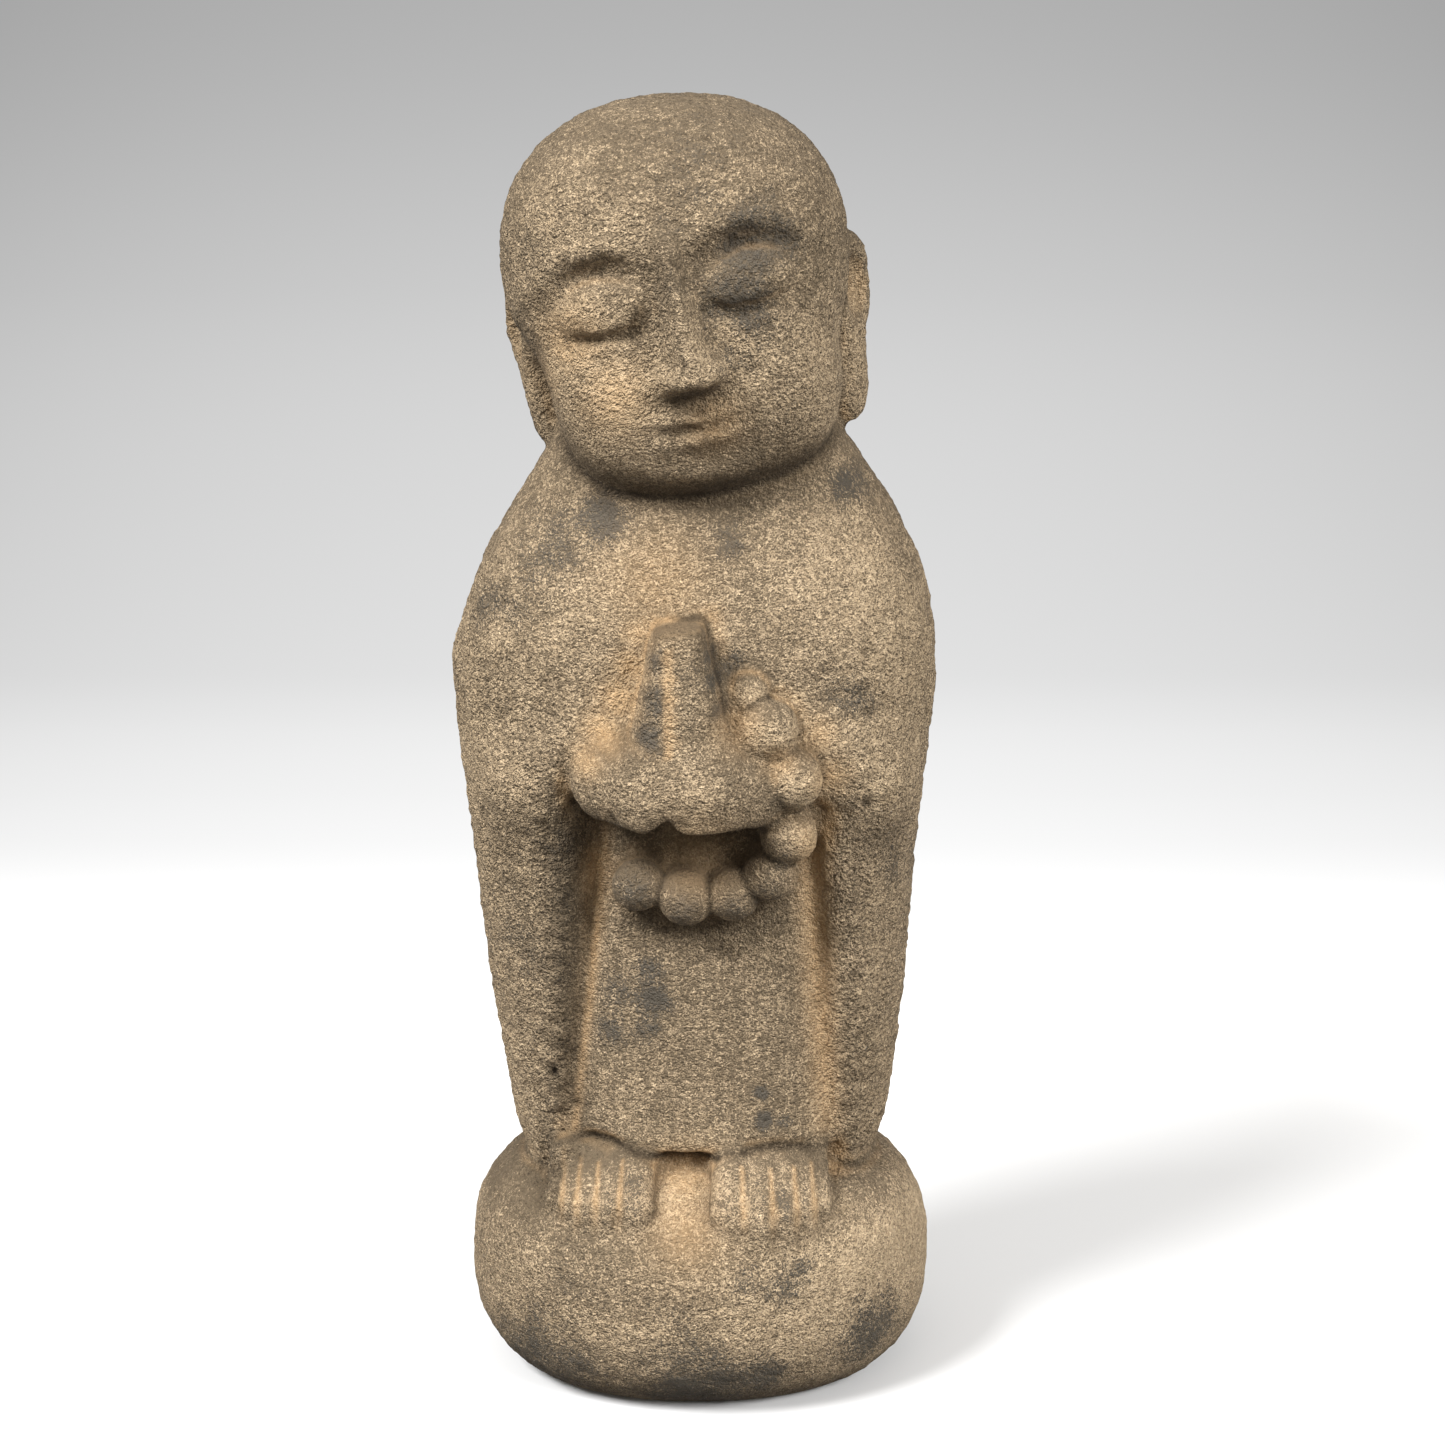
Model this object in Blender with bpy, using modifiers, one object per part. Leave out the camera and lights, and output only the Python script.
"""Jizo garden statue: a standing monk and the rounded stone under his feet, carved from one block.

The statue is one solid. Its form is written as fields: a field gives, for any point, the distance
to a surface in millimetres, below zero inside the stone. Fields are joined and cut as a carver
thinks of them, then a skin of even faces is drawn tight onto the result, thinned, and cut flat
below. Metres, +Z up, the statue looks along -Y and stands on Z = 0.
"""

import math

import bmesh
import bpy
import numpy as np

# Driving sizes of the block, in metres
STATUE_HEIGHT = 0.500
SOLE_HEIGHT = 0.078  # where the toes stand on the base
BASE_CROWN = 0.097  # top of the base's dome, inside the figure
BASE_WIDTH = 0.1845
BASE_DEPTH = 0.173
BASE_SET_BACK = 0.002
WIDEST_HEIGHT = 0.044
UNDERSIDE_SHARE = 0.76  # width of the flat underside, as a share of the base's width
BASE_UPPER_ROUNDING = 2.75
BASE_LOWER_ROUNDING = 2.82

# The figure is drawn 422 mm tall above its soles, and everything on it is a share of that height
DRAWN_HEIGHT = 422.0
CARVING_MM = (STATUE_HEIGHT - SOLE_HEIGHT) / DRAWN_HEIGHT

# How the skin is made: its distance from the form and its face size in each round, in metres
SKIN_ROUNDS = (
    (0.0300, 0.0120),
    (0.0180, 0.0095),
    (0.0110, 0.0078),
    (0.0075, 0.0066),
    (0.0050, 0.0056),
    (0.0034, 0.0049),
    (0.0022, 0.0043),
    (0.0014, 0.0037),
    (0.0008, 0.0032),
    (0.0004, 0.0028),
    (0.0000, 0.0025),
)
LAST_VOXEL = 0.0022
TRIANGLES = 9400

# Colour of the stone
STONE_COLOUR = (0.36, 0.29, 0.19, 1.0)
STONE_ROUGHNESS = 0.93

# Cloak sections: height above the soles, half width, depth in front of the axis and behind it, x of the axis
CLOAK = (
    (-40.0, 55.0, 36.0, 34.0, 0.0),
    (0.0, 66.0, 43.0, 42.0, 0.0),
    (18.0, 72.3, 47.0, 46.0, 0.0),
    (43.0, 77.3, 50.0, 50.0, 0.0),
    (83.0, 82.3, 54.0, 54.0, -0.8),
    (123.0, 85.6, 57.0, 57.0, -1.8),
    (162.0, 89.8, 60.0, 60.0, -2.0),
    (191.0, 92.8, 62.0, 62.0, -2.0),
    (212.0, 93.4, 62.5, 62.5, -1.8),
    (230.0, 89.8, 61.0, 62.0, -0.4),
    (248.0, 84.2, 57.0, 60.0, 0.6),
    (267.0, 74.2, 51.0, 55.0, 1.4),
    (286.0, 62.2, 44.0, 49.0, 1.0),
    (305.0, 50.0, 38.0, 43.0, 0.0),
    (335.0, 32.0, 30.0, 32.0, 0.0),
    (365.0, 10.0, 10.0, 10.0, 0.0),
)
CLOAK_SQUARENESS = 2.35

# Robe sections inside the cloak's opening, in the same order
ROBE = (
    (-40.0, 50.0, 30.0, 30.0, 0.0),
    (0.0, 60.0, 42.0, 35.0, 0.0),
    (22.0, 60.0, 49.5, 38.0, 0.0),
    (34.0, 59.0, 48.6, 39.5, 0.0),
    (50.0, 58.0, 47.5, 40.0, 0.2),
    (90.0, 54.0, 48.5, 42.0, 1.0),
    (140.0, 50.0, 50.0, 44.0, 3.0),
    (190.0, 48.0, 50.0, 44.0, 3.0),
    (240.0, 40.0, 40.0, 40.0, 0.0),
)
ROBE_SQUARENESS = 3.0
HEM = 21.5  # lowest height of the robe's edge
HEM_DEPTH = 8.0  # how far it stands out over the legs

# The cloak's opening: height, and x and y of the flap's edge and of its foot against the robe
LEFT_FLAP = (
    (-30.0, -60.0, -34.0, -56.0, -22.0),
    (4.0, -61.5, -38.0, -54.0, -27.0),
    (40.0, -61.0, -49.0, -49.5, -33.0),
    (100.0, -58.5, -55.0, -42.5, -38.0),
    (145.0, -55.5, -60.0, -38.0, -41.0),
    (190.0, -50.0, -62.0, -34.0, -43.0),
)
RIGHT_FLAP = (
    (-30.0, 64.0, -34.0, 57.0, -22.0),
    (4.0, 65.0, -36.0, 55.0, -27.0),
    (40.0, 61.0, -49.0, 51.0, -33.0),
    (100.0, 58.0, -55.0, 46.0, -37.5),
    (145.0, 55.5, -60.0, 42.0, -40.0),
    (190.0, 52.0, -62.0, 39.0, -42.0),
)
OPENING_TOP = 170.0
OPENING_TOP_SLOPE = -0.16

# The head: its middle, and the lean of the skull and of the face towards the right shoulder
HEAD_CENTRE = (-9.0, -6.0, 357.0)
SKULL_LEAN = math.radians(5.0)
FACE_LEAN = math.radians(12.5)
HEAD_NOD = math.radians(3.0)
SKULL_CENTRE = (0.8, 0.0, 6.0)
SKULL = (65.2, 67.0, 58.6)
SKULL_BELOW = (65.2, 67.0, 47.0)
SKULL_SQUARENESS = 2.3
JAW_CENTRE = (0.0, -7.0, -28.0)
JAW = (54.0, 56.0, 53.0)
JAW_SQUARENESS = 3.1
# The ears: side, distance from the middle, how the lobe draws in, turn, and the shell's middle height
EARS = (
    (-1.0, 58.0, 0.13, math.radians(16.0), -16.0),
    (1.0, 63.3, 0.02, math.radians(27.0), -11.5),
)
EAR_GROOVE = 1.5  # width of the groove between the head and each ear

# The hands pressed together: height, half width, depth in front of and behind their own axis
HANDS = (
    (150.0, 20.0, 20.0, 30.0, 0.0),
    (170.0, 20.5, 20.0, 30.0, 0.0),
    (187.0, 18.3, 18.0, 30.0, 0.0),
    (207.0, 14.4, 15.0, 30.0, 0.0),
    (228.0, 10.2, 11.0, 30.0, 0.0),
    (245.0, 8.0, 9.0, 30.0, 0.0),
)
HANDS_AXIS = (-7.0, -69.0)
HANDS_TOP = 234.5
HANDS_UNDERSIDE = 157.5

# The feet: for each toe from the big one outwards, its x, how far forward it ends, and half its width
LEFT_TOES = (
    (-23.6, -70.0, 7.3),
    (-35.4, -67.0, 5.1),
    (-43.6, -63.5, 4.6),
    (-50.2, -58.5, 4.3),
    (-55.8, -51.0, 4.0),
)
RIGHT_TOES = (
    (10.6, -74.0, 7.0),
    (22.8, -74.5, 5.8),
    (33.2, -71.0, 5.2),
    (41.2, -66.0, 4.5),
    (47.4, -59.0, 4.1),
)
KNUCKLE = (19.0, 14.0)  # how far behind the toe's end, and how high above the soles
HEEL = (-36.0, 17.5)  # y and height of the back of the foot, inside the robe

# The loop of beads: its centre, half its width and height, and for each bead its angle,
# how far out it lies as a share of the loop, its radius and the y of its middle
LOOP_CENTRE = (1.0, 166.0)
LOOP = (35.5, 39.0)
BEADS = (
    (64.5, 1.13, 8.0, -61.0),
    (45.3, 0.99, 11.3, -66.0),
    (12.9, 0.98, 11.2, -66.0),
    (-20.6, 0.98, 10.6, -62.0),
    (-45.9, 1.05, 10.4, -58.5),
    (-71.0, 1.02, 10.2, -57.5),
    (-99.0, 1.01, 11.0, -56.5),
    (-126.6, 1.11, 10.0, -54.5),
)
STAND_DEPTH = 0.0045  # how far the base's top dips in front of the robe, in metres
FAR = 1000.0


def through(rows, height):
    """Each column of rows at the given heights, on a smooth curve through the rows."""
    table = np.array(rows)
    knots = table[:, 0]
    place = np.clip(height, knots[0], knots[-1])
    index = np.clip(np.searchsorted(knots, place) - 1, 0, len(knots) - 2)
    width = knots[index + 1] - knots[index]
    t = (place - knots[index]) / width
    columns = []
    for values in table[:, 1:].T:
        slope = np.gradient(values, knots)
        columns.append(
            (2 * t**3 - 3 * t**2 + 1) * values[index]
            + (t**3 - 2 * t**2 + t) * width * slope[index]
            + (3 * t**2 - 2 * t**3) * values[index + 1]
            + (t**3 - t**2) * width * slope[index + 1]
        )
    return columns


def join(a, b, blend):
    """Both forms as one, with a hollow fillet of about the blend's size where they meet."""
    share = np.clip(0.5 + 0.5 * (b - a) / blend, 0.0, 1.0)
    return b * (1 - share) + a * share - blend * share * (1 - share)


def cut(a, tool, blend):
    """Form a with the tool's form cut away, and the new edge rounded by about the blend."""
    return -join(-a, tool, blend)


def meet(a, b, blend):
    """What both forms share, with the edge between them rounded by about the blend."""
    return -join(-a, -b, blend)


def step(distance, size):
    """Nothing well below no distance, one well above it, and smooth between."""
    return 1 / (1 + np.exp(-np.clip(distance / size, -30.0, 30.0)))


def ellipsoid(points, centre, radii):
    """Distance to an ellipsoid, close enough to its surface for joining and cutting."""
    offset = points - np.array(centre)
    scaled = np.linalg.norm(offset / np.array(radii), axis=1)
    steepness = np.linalg.norm(offset / np.array(radii) ** 2, axis=1)
    return scaled * (scaled - 1) / np.maximum(steepness, 1e-9)


def rod(points, start, end, start_radius, end_radius):
    """Distance to a rod with round ends that tapers from one radius to the other."""
    start = np.array(start)
    along = np.array(end) - start
    share = np.clip((points - start) @ along / (along @ along), 0.0, 1.0)
    reach = np.linalg.norm(points - start - share[:, None] * along, axis=1)
    return reach - (start_radius + share * (end_radius - start_radius))


def rounded_column(points, rows, squareness):
    """Distance to an upright form whose rounded sections follow the rows."""
    x, y, z = points.T
    half_width, front, back, axis_x = through(rows, z)
    x = x - axis_x
    depth = np.where(y < 0, front, back)
    reach = np.hypot(x, y)
    share = (np.abs(x / half_width) ** squareness + np.abs(y / depth) ** squareness) ** (1 / squareness)
    side = reach * (1 - 1 / np.maximum(share, 1e-6)) - np.where(reach < 1e-6, depth, 0.0)
    return np.maximum(side, z - rows[-1][0])


def turned(points, centre, lean, nod):
    """The points in the head's own axes: x to its left ear, y to its back, z to its crown."""
    x, y, z = (points - np.array(centre)).T
    upright_x = x * math.cos(lean) + z * math.sin(lean)
    upright_z = -x * math.sin(lean) + z * math.cos(lean)
    nodded_y = y * math.cos(nod) + upright_z * math.sin(nod)
    nodded_z = -y * math.sin(nod) + upright_z * math.cos(nod)
    return np.column_stack((upright_x, nodded_y, nodded_z))


def swell(distance, size):
    """One at no distance, falling smoothly to nothing a few sizes away."""
    return np.exp(-((distance / size) ** 2))


def cloak_form(points):
    """The cloak with its sleeves, open in front below the arms, over the robe."""
    x, y, z = points.T
    cloak = rounded_column(points, CLOAK, CLOAK_SQUARENESS)
    for side in (-1.0, 1.0):
        forearm = rod(points, (side * 62.0, -35.0, 168.0), (side * 43.0, -47.0, 182.0), 17.0, 11.5)
        cloak = join(cloak, forearm, 16.0)
    left_x, left_y, left_foot_x, left_foot_y = through(LEFT_FLAP, z)
    right_x, right_y, right_foot_x, right_foot_y = through(RIGHT_FLAP, z)
    left_run, left_rise = left_foot_x - left_x, left_foot_y - left_y
    right_run, right_rise = right_x - right_foot_x, right_foot_y - right_y
    past_left = ((y - left_y) * left_run - (x - left_x) * left_rise) / np.hypot(left_run, left_rise)
    past_right = ((x - right_x) * right_rise + (y - right_y) * right_run) / np.hypot(right_run, right_rise)
    above = z - (OPENING_TOP + OPENING_TOP_SLOPE * x)
    opening = meet(meet(past_left, past_right, 4.0), above, 9.0)
    opening = meet(opening, y + 6.0, 6.0)
    return cut(cloak, opening, 6.0)


def robe_form(points):
    """The robe's front, down to a hem that rises over each foot."""
    x, z = points[:, 0], points[:, 2]
    robe = rounded_column(points, ROBE, ROBE_SQUARENESS)
    over_feet = 7.5 * swell(x + 40.0, 20.0) + 5.5 * swell(x - 29.0, 20.0)
    return meet(robe, HEM + over_feet - z, 1.8)


def leg_form(points):
    """The mass behind the feet, so that the hem stands proud of it."""
    return rounded_column(points, ROBE, ROBE_SQUARENESS) + HEM_DEPTH


def foot_form(points, toes):
    """One foot: toes side by side, each a rod that widens backwards into the instep."""
    standing = points.copy()
    standing[:, 2] = np.maximum(points[:, 2], 4.0)
    middle = (toes[0][0] + toes[4][0]) / 2
    foot = None
    for x, reach, radius in toes:
        heel_x = middle + 0.74 * (x - middle)
        tip = (x, reach + radius, 4.5)
        knuckle = (x + 0.4 * (heel_x - x), reach + KNUCKLE[0], KNUCKLE[1])
        heel = (heel_x, HEEL[0], HEEL[1])
        toe = rod(standing, knuckle, tip, radius + 0.5, radius)
        back = rod(standing, heel, knuckle, radius + 4.5, radius + 0.5)
        toe = join(toe, back, 2.0)
        foot = toe if foot is None else join(foot, toe, 1.0)
    for inner, outer in zip(toes, toes[1:]):
        x = (inner[0] + inner[2] + outer[0] - outer[2]) / 2
        reach = (inner[1] + outer[1]) / 2
        top = max(inner[2], outer[2]) + 5.0
        start = (x, reach - 2.0, top - 3.5)
        end = (x * 0.97 + middle * 0.03, reach + 22.0, top + 11.5)
        foot = cut(foot, rod(points, start, end, 2.0, 0.6), 1.2)
    return meet(foot, -24.0 - points[:, 2], 2.0)


def hand_form(points):
    """Two palms pressed together, fingers up, and the heels of the hands that come out of the sleeves."""
    x, y, z = points.T
    axis_x, axis_y = HANDS_AXIS
    own = np.column_stack((x - axis_x, y - axis_y + 0.10 * (z - 200.0), z))
    fingers = rounded_column(own, HANDS, 2.8)
    crease = rod(own, (-4.5, -9.5, 238.0), (-3.0, -18.5, 186.0), 1.6, 1.2)
    fingers = cut(fingers, crease, 2.5)
    fingers = meet(fingers, z - (HANDS_TOP + 0.12 * (x - axis_x)), 5.0)
    left_heel = rod(points, (-18.0, -72.0, 175.0), (-31.0, -61.0, 172.0), 16.5, 15.0)
    right_heel = rod(points, (3.0, -73.0, 174.0), (19.0, -64.0, 170.0), 16.0, 15.0)
    left_slope = rod(points, (-15.0, -57.0, 214.0), (-33.0, -54.0, 178.0), 7.0, 14.0)
    right_slope = rod(points, (3.0, -60.0, 212.0), (18.0, -59.0, 182.0), 8.0, 13.0)
    heels = join(join(left_heel, right_heel, 2.5), join(left_slope, right_slope, 6.0), 8.0)
    hands = join(heels, fingers, 4.0)
    arch = 6.0 * swell(x + 11.5, 4.0)
    return meet(hands, HANDS_UNDERSIDE + arch - z - 0.03 * x, 2.5)


def bead_form(points):
    """The loop of beads that hangs from the hands."""
    beads = None
    for angle, share, radius, depth in BEADS:
        turn = math.radians(angle)
        centre = (
            LOOP_CENTRE[0] + LOOP[0] * share * math.cos(turn),
            depth,
            LOOP_CENTRE[1] + LOOP[1] * share * math.sin(turn),
        )
        bead = rod(points, centre, (centre[0], depth + 12.0, centre[2]), radius, radius - 1.0)
        beads = bead if beads is None else join(beads, bead, 2.5)
    return beads


def face_relief(across, up):
    """How far a plain face stands out of the head, by place across and up from its middle."""
    side = np.abs(across)
    brow_line = 14.5 - 0.013 * (side - 24.0) ** 2
    socket = -5.5 * step(brow_line - up, 1.8) * step(up + 17.0, 3.0) * swell(side - 27.0, 19.0)
    brow = 2.0 * swell(up - brow_line - 3.0, 4.4) * swell(side - 25.0, 24.0)
    lid_round = np.sqrt(np.clip(1 - ((side - 27.5) / 16.0) ** 2 - ((up + 4.0) / 12.0) ** 2, 0.0, 1.0))
    lid_edge = -8.5 - 3.2 * np.clip(1 - ((side - 27.5) / 15.0) ** 2, 0.0, 1.0)
    lid = 7.0 * lid_round * step(up - lid_edge, 0.8)
    lower_lid = 2.8 * swell(up + 16.2, 2.8) * swell(side - 27.5, 11.0)
    bridge = np.clip((16.0 - up) / 52.0, 0.0, 1.0)
    ridge = (5.5 + 12.5 * bridge**1.1) * swell(side, 4.4 + 3.6 * bridge) * step(up + 36.5, 0.9)
    nose = ridge * np.clip((26.0 - up) / 14.0, 0.0, 1.0)
    wing = 7.0 * swell(side - 8.6, 4.2) * swell(up + 32.5, 4.4)
    upper_lip = 4.0 * swell(up + 47.3 + 0.8 * swell(side, 3.5), 2.8) * swell(side, 16.0)
    lower_lip = 4.6 * swell(up + 55.2, 3.4) * swell(side, 12.5)
    mouth_line = -3.2 * swell(up + 51.0 - 0.006 * side**2, 1.8) * swell(side, 18.5)
    chin = 4.0 * swell(up + 70.0, 8.0) * swell(side, 15.0)
    cheek = 2.8 * swell(side - 33.0, 17.0) * swell(up + 32.0, 17.0)
    return (
        socket + brow + lid + lower_lid + nose + wing
        + upper_lip + lower_lip + mouth_line + chin + cheek
    )


def ear_form(head_points, side, out_from_middle, tuck, turn, height):
    """One ear, long in the lobe and hollow in its shell."""
    x, y, z = head_points.T
    out = side * x - out_from_middle - tuck * np.minimum(z + 20.0, 0.0)
    back = y - 6.0
    own = np.column_stack((
        out * math.cos(turn) - back * math.sin(turn),
        out * math.sin(turn) + back * math.cos(turn),
        z,
    ))
    shell = rounded_block(own, (0.0, 2.0, height), (6.6, 14.0, 20.0), 2.6)
    lobe = rounded_block(own, (0.0, -1.0, -43.0), (6.0, 10.0, 20.0), 2.6)
    ear = join(shell, lobe, 7.0)
    hollow = ellipsoid(own, (6.6, -0.5, height), (5.0, 8.0, 13.0))
    return cut(ear, hollow, 2.0)


def rounded_block(points, centre, radii, squareness):
    """Distance to a block with round sides, from an egg at squareness 2 to a brick at a high one."""
    offset = points - np.array(centre)
    share = (np.abs(offset / np.array(radii)) ** squareness).sum(axis=1) ** (1 / squareness)
    return np.linalg.norm(offset, axis=1) * (1 - 1 / np.maximum(share, 1e-6))


def head_form(points):
    """The bald head, leaning on its neck, with its ears and its closed eyes."""
    face = turned(points, HEAD_CENTRE, FACE_LEAN, HEAD_NOD)
    own = turned(points, HEAD_CENTRE, SKULL_LEAN, HEAD_NOD)
    crown = rounded_block(own, SKULL_CENTRE, SKULL, SKULL_SQUARENESS)
    cheeks = rounded_block(own, SKULL_CENTRE, SKULL_BELOW, SKULL_SQUARENESS)
    skull = np.where(own[:, 2] > SKULL_CENTRE[2], crown, cheeks)
    jaw = rounded_block(face, JAW_CENTRE, JAW, JAW_SQUARENESS)
    head = join(skull, jaw, 12.0)
    facing = step(-22.0 - face[:, 1], 5.0)
    head = head - facing * face_relief(face[:, 0], face[:, 2])
    for side, out_from_middle, tuck, turn, height in EARS:
        ear = ear_form(own, side, out_from_middle, tuck, turn, height)
        groove = meet(ear - EAR_GROOVE, -(head + 3.0), 1.0)
        head = join(cut(head, groove, 1.2), ear, 1.2)
    return head


def between(points, low, high, form, *sizes):
    """The form's value between two heights, and far away above and below them."""
    value = np.full(len(points), FAR)
    inside = (points[:, 2] > low) & (points[:, 2] < high)
    value[inside] = form(points[inside], *sizes)
    return value


def figure_form(points):
    """The whole figure, in millimetres of the drawn figure above its soles."""
    figure = between(points, -60.0, 400.0, cloak_form)
    figure = join(figure, between(points, -60.0, 230.0, robe_form), 5.0)
    figure = join(figure, between(points, -60.0, 60.0, leg_form), 3.0)
    figure = join(figure, between(points, 110.0, 280.0, hand_form), 4.0)
    figure = join(figure, between(points, 75.0, 260.0, bead_form), 2.0)
    for toes in (LEFT_TOES, RIGHT_TOES):
        figure = join(figure, between(points, -60.0, 80.0, foot_form, toes), 1.8)
    return join(figure, between(points, 235.0, 999.0, head_form), 3.0)


def base_form(points):
    """The rounded stone under the feet, before its underside is cut flat, in metres."""
    x, y, z = (points - np.array((0.0, BASE_SET_BACK, WIDEST_HEIGHT))).T
    below = WIDEST_HEIGHT / (1 - UNDERSIDE_SHARE**BASE_LOWER_ROUNDING) ** (1 / BASE_LOWER_ROUNDING)
    rounding = np.where(z > 0, BASE_UPPER_ROUNDING, BASE_LOWER_ROUNDING)
    half_height = np.where(z > 0, BASE_CROWN - WIDEST_HEIGHT, below)
    ring = np.sqrt((x / (BASE_WIDTH / 2)) ** 2 + (y / (BASE_DEPTH / 2)) ** 2)
    share = (ring**rounding + np.abs(z / half_height) ** rounding) ** (1 / rounding)
    return np.sqrt(x**2 + y**2 + z**2) * (1 - 1 / np.maximum(share, 1e-6))


def statue_form(points):
    """The distance in metres from each point to the statue's surface."""
    drawn = (points - np.array((0.0, 0.0, SOLE_HEIGHT))) / CARVING_MM
    figure = figure_form(drawn) * CARVING_MM
    stand = STAND_DEPTH * swell(points[:, 0], 0.060) * swell(points[:, 1] + 0.066, 0.032)
    return join(figure, base_form(points) + stand, 2.4 * CARVING_MM)


def slope_of(form, points, nudge):
    """The form's value at each point, and the way in which it grows."""
    value = form(points)
    slope = np.empty_like(points)
    for axis in range(3):
        moved = points.copy()
        moved[:, axis] += nudge
        slope[:, axis] = (form(moved) - value) / nudge
    return value, slope


def draw_tight(mesh, form, gap, passes, longest):
    """Moves the mesh's points onto the surface at the given gap from the form."""
    points = np.empty(len(mesh.vertices) * 3)
    mesh.vertices.foreach_get("co", points)
    points = points.reshape(-1, 3)
    for _ in range(passes):
        value, slope = slope_of(form, points, 1e-4)
        steep = np.maximum((slope**2).sum(axis=1), 0.05)
        move = np.clip((value - gap) / np.sqrt(steep), -longest, longest)
        points -= (move / np.sqrt(steep))[:, None] * slope
    mesh.vertices.foreach_set("co", points.ravel())
    mesh.update()


def evened(skin, voxel):
    """Gives the skin faces of one size, and merges whatever crosses itself."""
    remesh = skin.modifiers.new("Even faces", "REMESH")
    remesh.mode = "VOXEL"
    remesh.voxel_size = voxel
    graph = bpy.context.evaluated_depsgraph_get()
    mesh = bpy.data.meshes.new_from_object(skin.evaluated_get(graph))
    skin.modifiers.remove(remesh)
    old = skin.data
    skin.data = mesh
    bpy.data.meshes.remove(old)


def start_skin(collection):
    """A plain egg around the whole block, for the skin to shrink from."""
    shape = bmesh.new()
    bmesh.ops.create_uvsphere(shape, u_segments=64, v_segments=48, radius=1.0)
    reach = (BASE_WIDTH * 0.75, BASE_DEPTH * 0.85, STATUE_HEIGHT * 0.62)
    bmesh.ops.scale(shape, vec=reach, verts=shape.verts)
    bmesh.ops.translate(shape, vec=(0.0, 0.0, STATUE_HEIGHT * 0.5), verts=shape.verts)
    mesh = bpy.data.meshes.new("jizo_statue")
    shape.to_mesh(mesh)
    shape.free()
    skin = bpy.data.objects.new("jizo_statue", mesh)
    collection.objects.link(skin)
    return skin


def relaxed(skin, passes):
    """Evens out the skin's points along itself."""
    smooth = skin.modifiers.new("Relax", "SMOOTH")
    smooth.factor = 0.5
    smooth.iterations = passes
    graph = bpy.context.evaluated_depsgraph_get()
    mesh = bpy.data.meshes.new_from_object(skin.evaluated_get(graph))
    skin.modifiers.remove(smooth)
    old = skin.data
    skin.data = mesh
    bpy.data.meshes.remove(old)


def draw_skin(skin, form):
    """Shrinks the skin onto the form, from coarse and loose to fine and tight."""
    for gap, voxel in SKIN_ROUNDS:
        draw_tight(skin.data, form, gap, 3, voxel)
        relaxed(skin, 2)
        draw_tight(skin.data, form, gap, 1, voxel)
        evened(skin, voxel)
    draw_tight(skin.data, form, 0.0, 2, LAST_VOXEL / 2)
    evened(skin, LAST_VOXEL)
    relaxed(skin, 1)


def thin_out(skin, triangles):
    """Leaves about this many triangles, smaller where the carving is finer."""
    thin = skin.modifiers.new("Fewer faces", "DECIMATE")
    count = sum(len(face.vertices) - 2 for face in skin.data.polygons)
    thin.ratio = min(1.0, triangles / count)
    graph = bpy.context.evaluated_depsgraph_get()
    mesh = bpy.data.meshes.new_from_object(skin.evaluated_get(graph))
    skin.modifiers.remove(thin)
    old = skin.data
    skin.data = mesh
    bpy.data.meshes.remove(old)


def cut_at_ground(skin):
    """Removes what lies below the ground, and leaves the stone open there."""
    shape = bmesh.new()
    shape.from_mesh(skin.data)
    everything = shape.verts[:] + shape.edges[:] + shape.faces[:]
    bmesh.ops.bisect_plane(
        shape, geom=everything, plane_co=(0.0, 0.0, 0.0), plane_no=(0.0, 0.0, -1.0), clear_outer=True
    )
    shape.to_mesh(skin.data)
    shape.free()


def close_underside(skin):
    """Closes the stone with one flat face on the ground, where it rests."""
    shape = bmesh.new()
    shape.from_mesh(skin.data)
    rim = [edge for edge in shape.edges if edge.is_boundary]
    for edge in rim:
        for corner in edge.verts:
            corner.co.z = 0.0
    bmesh.ops.contextual_create(shape, geom=rim)
    bmesh.ops.recalc_face_normals(shape, faces=shape.faces)
    shape.to_mesh(skin.data)
    shape.free()


def stone_material():
    """Tan volcanic stone."""
    stone = bpy.data.materials.new("volcanic stone")
    stone.use_nodes = True
    shader = stone.node_tree.nodes["Principled BSDF"]
    shader.inputs["Base Color"].default_value = STONE_COLOUR
    shader.inputs["Roughness"].default_value = STONE_ROUGHNESS
    shader.inputs["Metallic"].default_value = 0.0
    stone.diffuse_color = STONE_COLOUR
    return stone


def clear_scene():
    """Removes what the file starts with."""
    for obj in list(bpy.data.objects):
        bpy.data.objects.remove(obj, do_unlink=True)


def build():
    """Builds the statue as one named object."""
    clear_scene()
    collection = bpy.data.collections.new("jizo garden statue")
    bpy.context.scene.collection.children.link(collection)
    statue = start_skin(collection)
    draw_skin(statue, statue_form)
    cut_at_ground(statue)
    thin_out(statue, TRIANGLES)
    close_underside(statue)
    statue.data.materials.append(stone_material())
    statue.data.shade_smooth()
    statue.data.set_sharp_from_angle(angle=math.radians(50.0))
    return statue


build()
